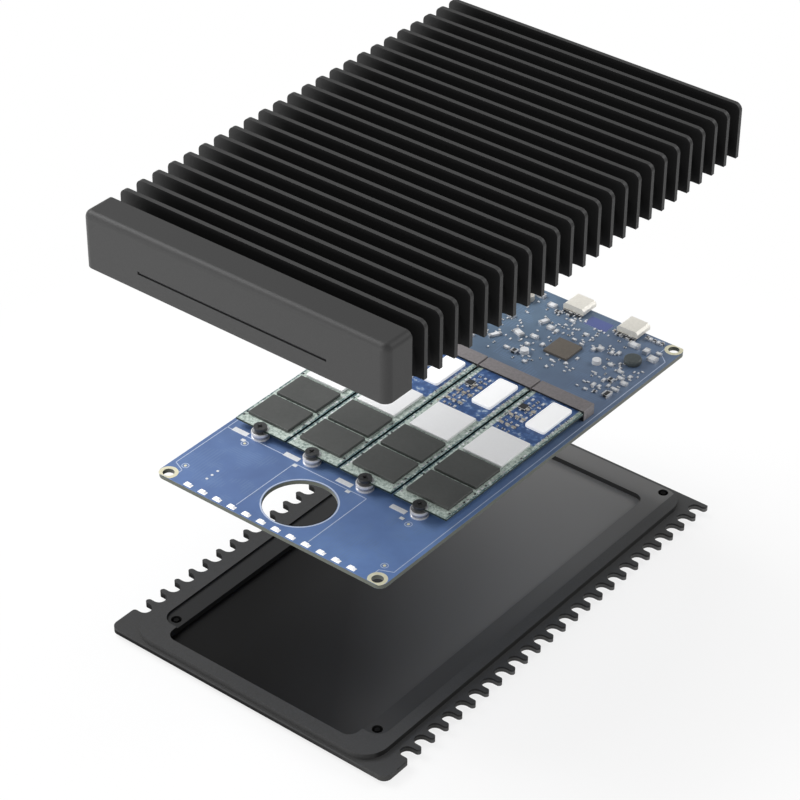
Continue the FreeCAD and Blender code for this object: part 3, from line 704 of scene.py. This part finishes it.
def board_parts():
    """Small parts of the back area, placed across and behind the case's front face."""
    blocks = Blocks("board_small_parts", PART_FINISHES)
    # Each part: kind, across, behind, length, width, height, turn
    rows = [
        ("pale", -13.2, 163.5, 3.6, 1.6, 0.9, 0), ("pale", -10.1, 149.8, 5.0, 1.4, 0.9, 62),
        ("pale", -4.1, 156.0, 4.4, 2.2, 1.1, -20), ("pale", 1.7, 157.5, 3.0, 1.6, 1.0, 0),
        ("pale", -1.4, 167.6, 4.0, 1.8, 1.0, 70), ("pale", 2.9, 165.7, 2.8, 1.8, 1.1, 0),
        ("pale", 5.7, 165.3, 2.0, 1.2, 0.8, 90), ("pale", -12.7, 180.7, 4.0, 2.2, 1.2, 0),
        ("pale", -5.4, 178.1, 3.4, 2.2, 0.9, 0), ("pale", 6.2, 174.4, 2.4, 1.2, 0.7, 0),
        ("pale", 15.2, 170.4, 2.0, 1.2, 0.7, 0), ("pale", 22.8, 164.2, 2.0, 1.3, 0.9, 90),
        ("pale", 24.6, 165.9, 2.2, 2.0, 1.1, 90), ("pale", 29.0, 166.6, 2.0, 1.2, 0.7, 90),
        ("pale", 31.0, 168.0, 2.0, 1.2, 0.7, 90), ("pale", 32.6, 175.2, 4.2, 2.0, 1.3, 0),
        ("pale", 38.2, 174.7, 2.8, 2.0, 1.3, 90), ("pale", 42.7, 172.0, 3.6, 2.6, 1.3, 0),
        ("pale", 42.4, 176.4, 2.2, 1.2, 0.8, 0), ("pale", 15.0, 149.6, 1.6, 0.9, 0.5, 0),
        ("pale", 20.0, 151.1, 1.6, 0.9, 0.5, 90), ("pale", 21.5, 156.1, 1.6, 0.9, 0.5, 90),
        ("pale", 13.7, 165.2, 1.8, 0.9, 0.6, 0), ("pale", 17.4, 164.3, 1.8, 0.9, 0.6, 0),
        ("pale", 2.4, 152.3, 1.9, 1.2, 0.8, 0), ("pale", 6.9, 155.2, 1.9, 1.2, 0.8, 90),
        ("pale", -2.0, 146.0, 2.4, 1.2, 0.8, 0), ("dark", 1.6, 145.6, 2.6, 2.0, 1.0, 0),
        ("pale", 8.2, 142.8, 1.8, 1.2, 0.7, 0), ("dark", -1.4, 175.8, 2.2, 1.4, 0.9, 0),
        ("dark", 2.8, 177.1, 2.4, 1.4, 0.9, 90), ("dark", 5.8, 179.0, 1.8, 1.2, 0.8, 0),
        ("dark", 24.3, 177.6, 2.2, 1.4, 0.9, 0), ("dark", 28.4, 177.8, 2.2, 1.4, 0.9, 90),
        ("brown", 21.6, 178.6, 1.6, 0.9, 0.7, 90), ("dark", 33.4, 182.3, 1.8, 1.1, 0.8, 90),
        ("pale", 34.9, 182.2, 1.8, 1.1, 0.8, 90), ("dark", 36.6, 182.1, 1.8, 1.1, 0.8, 90),
        ("pale", 38.2, 182.2, 1.8, 1.1, 0.8, 90), ("dark", 39.8, 182.3, 1.8, 1.1, 0.8, 90),
        ("pale", 32.9, 160.3, 2.4, 1.2, 0.7, 0), ("pale", 38.1, 158.8, 2.6, 1.1, 0.7, 0),
        ("pale", 42.6, 158.1, 1.8, 1.1, 0.7, 90), ("pale", 36.5, 151.0, 1.8, 1.0, 0.7, 90),
        ("dark", 38.4, 152.5, 2.2, 1.8, 0.9, 0), ("pale", 40.6, 155.5, 2.8, 1.2, 0.8, 0),
        ("pale", 43.4, 153.4, 2.6, 1.6, 1.0, 0), ("pale", 42.9, 148.6, 3.0, 1.2, 0.8, 0),
        ("dark", 42.4, 144.4, 2.8, 2.8, 0.9, 0), ("pale", 35.3, 146.4, 2.2, 1.2, 0.7, 90),
        ("pale", 34.6, 142.6, 1.6, 1.0, 0.6, 0), ("pale", 37.4, 146.9, 1.6, 1.0, 0.6, 90),
        ("pale", 39.7, 149.2, 1.6, 1.0, 0.6, 90), ("dark", 38.0, 143.6, 1.6, 1.0, 0.6, 0),
    ]
    for kind, across, behind, length, width, height, turn in rows:
        blocks.passive((across, along(behind), BOARD_TOP), (length, width, height), turn, kind)
    # The half under the housing carries the same kinds of parts in loose rows, clear of the second coil.
    for column in range(9):
        for line in range(6):
            across = -44.0 + column * 3.4 + random.uniform(-0.5, 0.5)
            behind = 138.5 + line * 7.0 + random.uniform(-1.4, 1.4)
            if abs(across + 14.8) < 4.2 and abs(behind - 176.5) < 4.5:
                continue
            kind = random.choice(("pale", "pale", "dark", "brown"))
            size = (random.choice((1.6, 2.0, 2.6)), random.choice((0.9, 1.2, 1.5)), 0.8)
            blocks.passive((across, along(behind), BOARD_TOP), size, random.choice((0, 90)), kind)
    # Dust-fine parts between them, in clusters: left, front, right, back and number of parts.
    for left, front, right, back, count in ((-14, 142, 10, 164, 46), (-12, 166, 12, 178, 34),
                                            (14, 166, 32, 176, 26), (30, 142, 46, 164, 48),
                                            (10, 145, 24, 152, 12)):
        for _ in range(count):
            place = (random.uniform(left, right), along(random.uniform(front, back)), BOARD_TOP)
            size = (random.choice((0.9, 1.2)), 0.55, 0.4)
            turn = random.choice((0, 90))
            blocks.passive(place, size, turn, random.choice(("pale", "pale", "dark")))
    # Legs and a dark bar at the inner end of each port.
    for port in ("data_port_1", "data_port_2"):
        low, high = node_box(port)
        bar_size = (high.x - low.x - 0.6, 0.6, 0.8)
        blocks.block(((low.x + high.x) / 2, low.y - 0.35, BOARD_TOP), bar_size, DARK_PART)
        for leg in range(PORT_LEGS):
            across = low.x + (leg + 0.5) * (high.x - low.x) / PORT_LEGS
            finish = DARK_PART if leg % 2 else PALE_PART
            blocks.block((across, low.y - 1.2, BOARD_TOP), (0.5, 1.3, 0.3), finish)
    for across, behind in ((4.6, 147.6), (28.2, 158.4)):
        blocks.disc((across, along(behind), BOARD_TOP), 1.7, 1.5, PALE_PART)
    blocks.done("board")


# Lights, holes and print: in from the board's edges, across, or behind the case's front face
LIGHT_COUNT = 12
LIGHT_LENGTH = 2.0
HOLE_INSET_SIDE = 3.6
HOLE_INSET_END = 2.6
LARGE_HOLE_BEHIND = 30.5
LARGE_HOLE_RADIUS = 12.5
BORDER_INSET = 1.6
BOX_SIDE = 15.5
BOX_FRONT = 16.8
BOX_BACK = 46.1


def board_print():
    """White print on the board: borders, a box and a ring round the large hole, pads and dots."""
    blocks = Blocks("board_print", PRINT_FINISHES)
    border = BOARD_HIGH.x - BORDER_INSET
    front = BOARD_LOW.y - CASE_FRONT
    back = BOARD_HIGH.y - CASE_FRONT
    for side in (-1, 1):
        blocks.line([(side * (border - 4.6), front + 1.4), (side * (border - 4.6), front + 6.4),
                     (side * border, front + 8.4), (side * border, back - 11.0),
                     (side * (border - 4.8), back - 7.0), (side * (border - 4.8), back - 1.6)])
    blocks.line([(-BOX_SIDE, BOX_FRONT), (-BOX_SIDE, BOX_BACK),
                 (BOX_SIDE, BOX_BACK), (BOX_SIDE, BOX_FRONT)])
    blocks.line([(-border, BOX_BACK + 1.5), (-BOX_SIDE, BOX_BACK + 1.5)])
    blocks.ring((0.0, along(LARGE_HOLE_BEHIND), BOARD_TOP), LARGE_HOLE_RADIUS + 0.15,
                LARGE_HOLE_RADIUS + 0.65, PRINT_HEIGHT, SILK_LINE, 72)
    # Two pads beside each post.
    for card in CARDS:
        middle = card_middle(card)
        blocks.block((middle - 7.1, along(48.3), BOARD_TOP), (6.4, 2.2, 0.12), WHITE_PAD, edge=0.03)
        blocks.block((middle - 3.2, along(45.2), BOARD_TOP), (1.7, 1.3, 0.1), WHITE_PAD, edge=0.03)
    # A pad under each light, in the same glowing white: painted light.
    low, high = node_box("status_lights")
    light_pitch = (high.x - low.x - LIGHT_LENGTH) / (LIGHT_COUNT - 1)
    for light in range(LIGHT_COUNT):
        place = (low.x + LIGHT_LENGTH / 2 + light * light_pitch, (low.y + high.y) / 2 - 0.1, BOARD_TOP)
        blocks.block(place, (3.3, 1.7, 0.06), LIGHT_PAD, edge=0.02)
    # Dots, ringed test points and the smooth patch between the ports.
    for behind in (21.3, 23.9, 26.7):
        blocks.disc((-32.5, along(behind), BOARD_TOP), 0.5, 0.08, WHITE_PAD, 16)
    for across, behind in ((-42.9, 22.2), (-35.9, 44.1), (34.7, 44.1), (42.2, 22.5)):
        blocks.disc((across, along(behind), BOARD_TOP), 0.55, 0.08, GOLD_RING, 16)
        blocks.ring((across, along(behind), BOARD_TOP), 1.1, 1.35, PRINT_HEIGHT, SILK_LINE, 24)
    blocks.block((14.6, along(179.0), BOARD_TOP), (9.6, 5.6, 0.06), SMOOTH_PATCH, edge=0.02)
    # Plating round the corner holes, cut off at the board's ends.
    hole_x = BOARD_HIGH.x - HOLE_INSET_SIDE
    span = (BOARD_LOW.y + 0.1, BOARD_HIGH.y - 0.1)
    for across in (-hole_x, hole_x):
        for hole_y in (BOARD_LOW.y + HOLE_INSET_END, BOARD_HIGH.y - HOLE_INSET_END):
            blocks.ring((across, hole_y, BOARD_TOP), 2.02, 3.35, 0.06, GOLD_RING, 40, span)
    blocks.done("board")


def card_parts(number):
    """Tiny parts and pads on one memory card, round its chips."""
    low, high = node_box(f"memory_card_{number}")
    middle = card_middle(number)
    front = low.y
    top = high.z
    blocks = Blocks(f"card_small_parts_{number}", PART_FINISHES)
    # Left half beside the cache chip: rows of parts.
    for line in range(9):
        for column in range(4):
            across = middle - 9.4 + column * 2.3 + random.uniform(-0.3, 0.3)
            behind = front + 51.4 + line * 2.5 + random.uniform(-0.3, 0.3)
            kind = random.choice(("pale", "brown", "dark", "pale"))
            size = (random.choice((1.0, 1.4)), random.choice((0.6, 0.8)), 0.4)
            blocks.passive((across, behind, top), size, random.choice((0, 90)), kind)
    # Right of the cache chip: one row.
    for line in range(8):
        place = (middle + 9.5, front + 52.0 + line * 2.7, top)
        blocks.passive(place, (1.2, 0.6, 0.4), 90, random.choice(("pale", "dark", "brown")))
    # Along both long rims: small pads.
    for line in range(24):
        for side in (-1, 1):
            if random.random() < 0.55:
                place = (middle + side * 9.95, front + 3.0 + line * 1.95, top)
                blocks.block(place, (0.7, 0.9, 0.1), random.choice((PALE_PART, SOLDERED, DARK_PART)),
                             edge=0.02)
    blocks.block((middle - 7.0, front + 66.0, top), (3.0, 3.0, 0.7), DARK_PART, edge=0.08)
    blocks.ring((middle, front, top), 1.8, 2.9, 0.03, SOLDERED, 40)
    trim_front(blocks.done("board"), front)


def trim_front(piece, front):
    """Cut the screw ring off at the card's front edge."""
    work = bmesh.new()
    work.from_mesh(piece.data)
    geometry = work.verts[:] + work.edges[:] + work.faces[:]
    bmesh.ops.bisect_plane(work, geom=geometry, plane_co=(0, (front + 0.05) * MM, 0), plane_no=(0, -1, 0),
                           clear_outer=True)
    bmesh.ops.holes_fill(work, edges=[edge for edge in work.edges if edge.is_boundary], sides=8)
    work.to_mesh(piece.data)
    work.free()


def standoff_collars():
    """Bright collars at the top and the foot of the posts that hold the cards."""
    low, high = node_box("card_standoffs")
    middle_y = (low.y + high.y) / 2
    post = (high.y - low.y) / 2
    blocks = Blocks("standoff_collars", [POST])
    for card in CARDS:
        across = card_middle(card)
        blocks.ring((across, middle_y, high.z - 0.8), post - 0.05, post + 0.3, 0.8, segments=40)
        blocks.ring((across, middle_y, low.z), post - 0.05, post + 0.25, 0.5, segments=40)
    blocks.done("board")


board_parts()
board_print()
standoff_collars()
for card in CARDS:
    card_parts(card)

# Floor and light, in metres

FLOOR_HALF = 3.0
SHADOW_SHARE = 0.2
SHADOW_NEAR = 0.1
SHADOW_FAR = 0.24
AMBIENT_STRENGTH = 0.36


def floor_material():
    """White to the eye, but close to the part some of it is a surface that takes the shadow."""
    material = bpy.data.materials.new("floor_white")
    material.use_nodes = True
    tree = material.node_tree
    tree.nodes.clear()
    output = tree.nodes.new("ShaderNodeOutputMaterial")
    surface = tree.nodes.new("ShaderNodeBsdfDiffuse")
    surface.inputs["Color"].default_value = (0.9, 0.9, 0.9, 1.0)
    light = tree.nodes.new("ShaderNodeEmission")
    light.inputs["Color"].default_value = (1.0, 1.0, 1.0, 1.0)
    both = tree.nodes.new("ShaderNodeMixShader")
    away = tree.nodes.new("ShaderNodeVectorMath")
    away.operation = "LENGTH"
    tree.links.new(place_coordinates(tree), away.inputs[0])
    share = slide(tree, away.outputs["Value"], SHADOW_SHARE, 0.0, SHADOW_NEAR, SHADOW_FAR)
    tree.links.new(share, both.inputs["Fac"])
    tree.links.new(light.outputs["Emission"], both.inputs[1])
    tree.links.new(surface.outputs["BSDF"], both.inputs[2])
    path = tree.nodes.new("ShaderNodeLightPath")
    chooser = tree.nodes.new("ShaderNodeMixShader")
    tree.links.new(path.outputs["Is Camera Ray"], chooser.inputs["Fac"])
    tree.links.new(surface.outputs["BSDF"], chooser.inputs[1])
    tree.links.new(both.outputs["Shader"], chooser.inputs[2])
    tree.links.new(chooser.outputs["Shader"], output.inputs["Surface"])
    return material


def lay_floor():
    mesh = bpy.data.meshes.new("floor")
    mesh.from_pydata([(-FLOOR_HALF, -FLOOR_HALF, 0), (FLOOR_HALF, -FLOOR_HALF, 0),
                      (FLOOR_HALF, FLOOR_HALF, 0), (-FLOOR_HALF, FLOOR_HALF, 0)], [], [(0, 1, 2, 3)])
    mesh.materials.append(floor_material())
    floor = bpy.data.objects.new("floor", mesh)
    bpy.context.scene.collection.objects.link(floor)


def light_world():
    """Even light from all round, and plain white behind the part for the camera."""
    world = bpy.data.worlds.new("studio")
    bpy.context.scene.world = world
    world.use_nodes = True
    tree = world.node_tree
    tree.nodes.clear()
    output = tree.nodes.new("ShaderNodeOutputWorld")
    choice = tree.nodes.new("ShaderNodeMixShader")
    for socket, strength in ((choice.inputs[1], AMBIENT_STRENGTH), (choice.inputs[2], 1.0)):
        background = tree.nodes.new("ShaderNodeBackground")
        background.inputs["Color"].default_value = (1.0, 1.0, 1.0, 1.0)
        background.inputs["Strength"].default_value = strength
        tree.links.new(background.outputs["Background"], socket)
    path = tree.nodes.new("ShaderNodeLightPath")
    tree.links.new(path.outputs["Is Camera Ray"], choice.inputs["Fac"])
    tree.links.new(choice.outputs["Shader"], output.inputs["Surface"])


def soft_box(name, place, target, size, power):
    """Rectangular light that points at a target."""
    data = bpy.data.lights.new(name, "AREA")
    data.shape = "RECTANGLE"
    data.size = size[0]
    data.size_y = size[1]
    data.energy = power
    lamp = bpy.data.objects.new(name, data)
    lamp.location = place
    lamp.rotation_euler = (Vector(target) - Vector(place)).to_track_quat("-Z", "Y").to_euler()
    bpy.context.scene.collection.objects.link(lamp)


lay_floor()
light_world()
soft_box("side", (-1.1, -0.1, 1.3), (0, 0, 0.1), (1.1, 1.1), 28.0)
soft_box("front", (-0.2, -1.5, 0.35), (0, 0, 0.12), (1.2, 0.5), 8.0)
soft_box("back_right", (0.6, 1.1, 0.9), (0, 0, 0.08), (1.0, 0.6), 8.0)

# Camera: place in millimetres, direction, turn about the view axis, and lens for a 36 mm sensor

CAMERA_PLACE = (475.05, -608.48, 616.96)
CAMERA_AZIMUTH = 38.48
CAMERA_ELEVATION = 35.08
CAMERA_ROLL = 0.39
CAMERA_LENS = 124.64


def place_camera():
    """The camera at the photograph's viewing angle."""
    azimuth = math.radians(CAMERA_AZIMUTH)
    elevation = math.radians(CAMERA_ELEVATION)
    roll = math.radians(CAMERA_ROLL)
    forward = Vector((-math.sin(azimuth) * math.cos(elevation), math.cos(azimuth) * math.cos(elevation),
                      -math.sin(elevation)))
    level = forward.cross(Vector((0, 0, 1))).normalized()
    upright = level.cross(forward)
    right = level * math.cos(roll) + upright * math.sin(roll)
    up = upright * math.cos(roll) - level * math.sin(roll)
    data = bpy.data.cameras.new("camera")
    data.sensor_width = 36.0
    data.sensor_fit = "HORIZONTAL"
    data.lens = CAMERA_LENS
    data.clip_start = 0.01
    camera = bpy.data.objects.new("camera", data)
    turned = Matrix((right, up, -forward)).transposed().to_4x4()
    camera.matrix_world = Matrix.Translation(Vector(CAMERA_PLACE) * MM) @ turned
    bpy.context.scene.collection.objects.link(camera)
    bpy.context.scene.camera = camera


place_camera()
bpy.context.scene.view_settings.view_transform = "Standard"
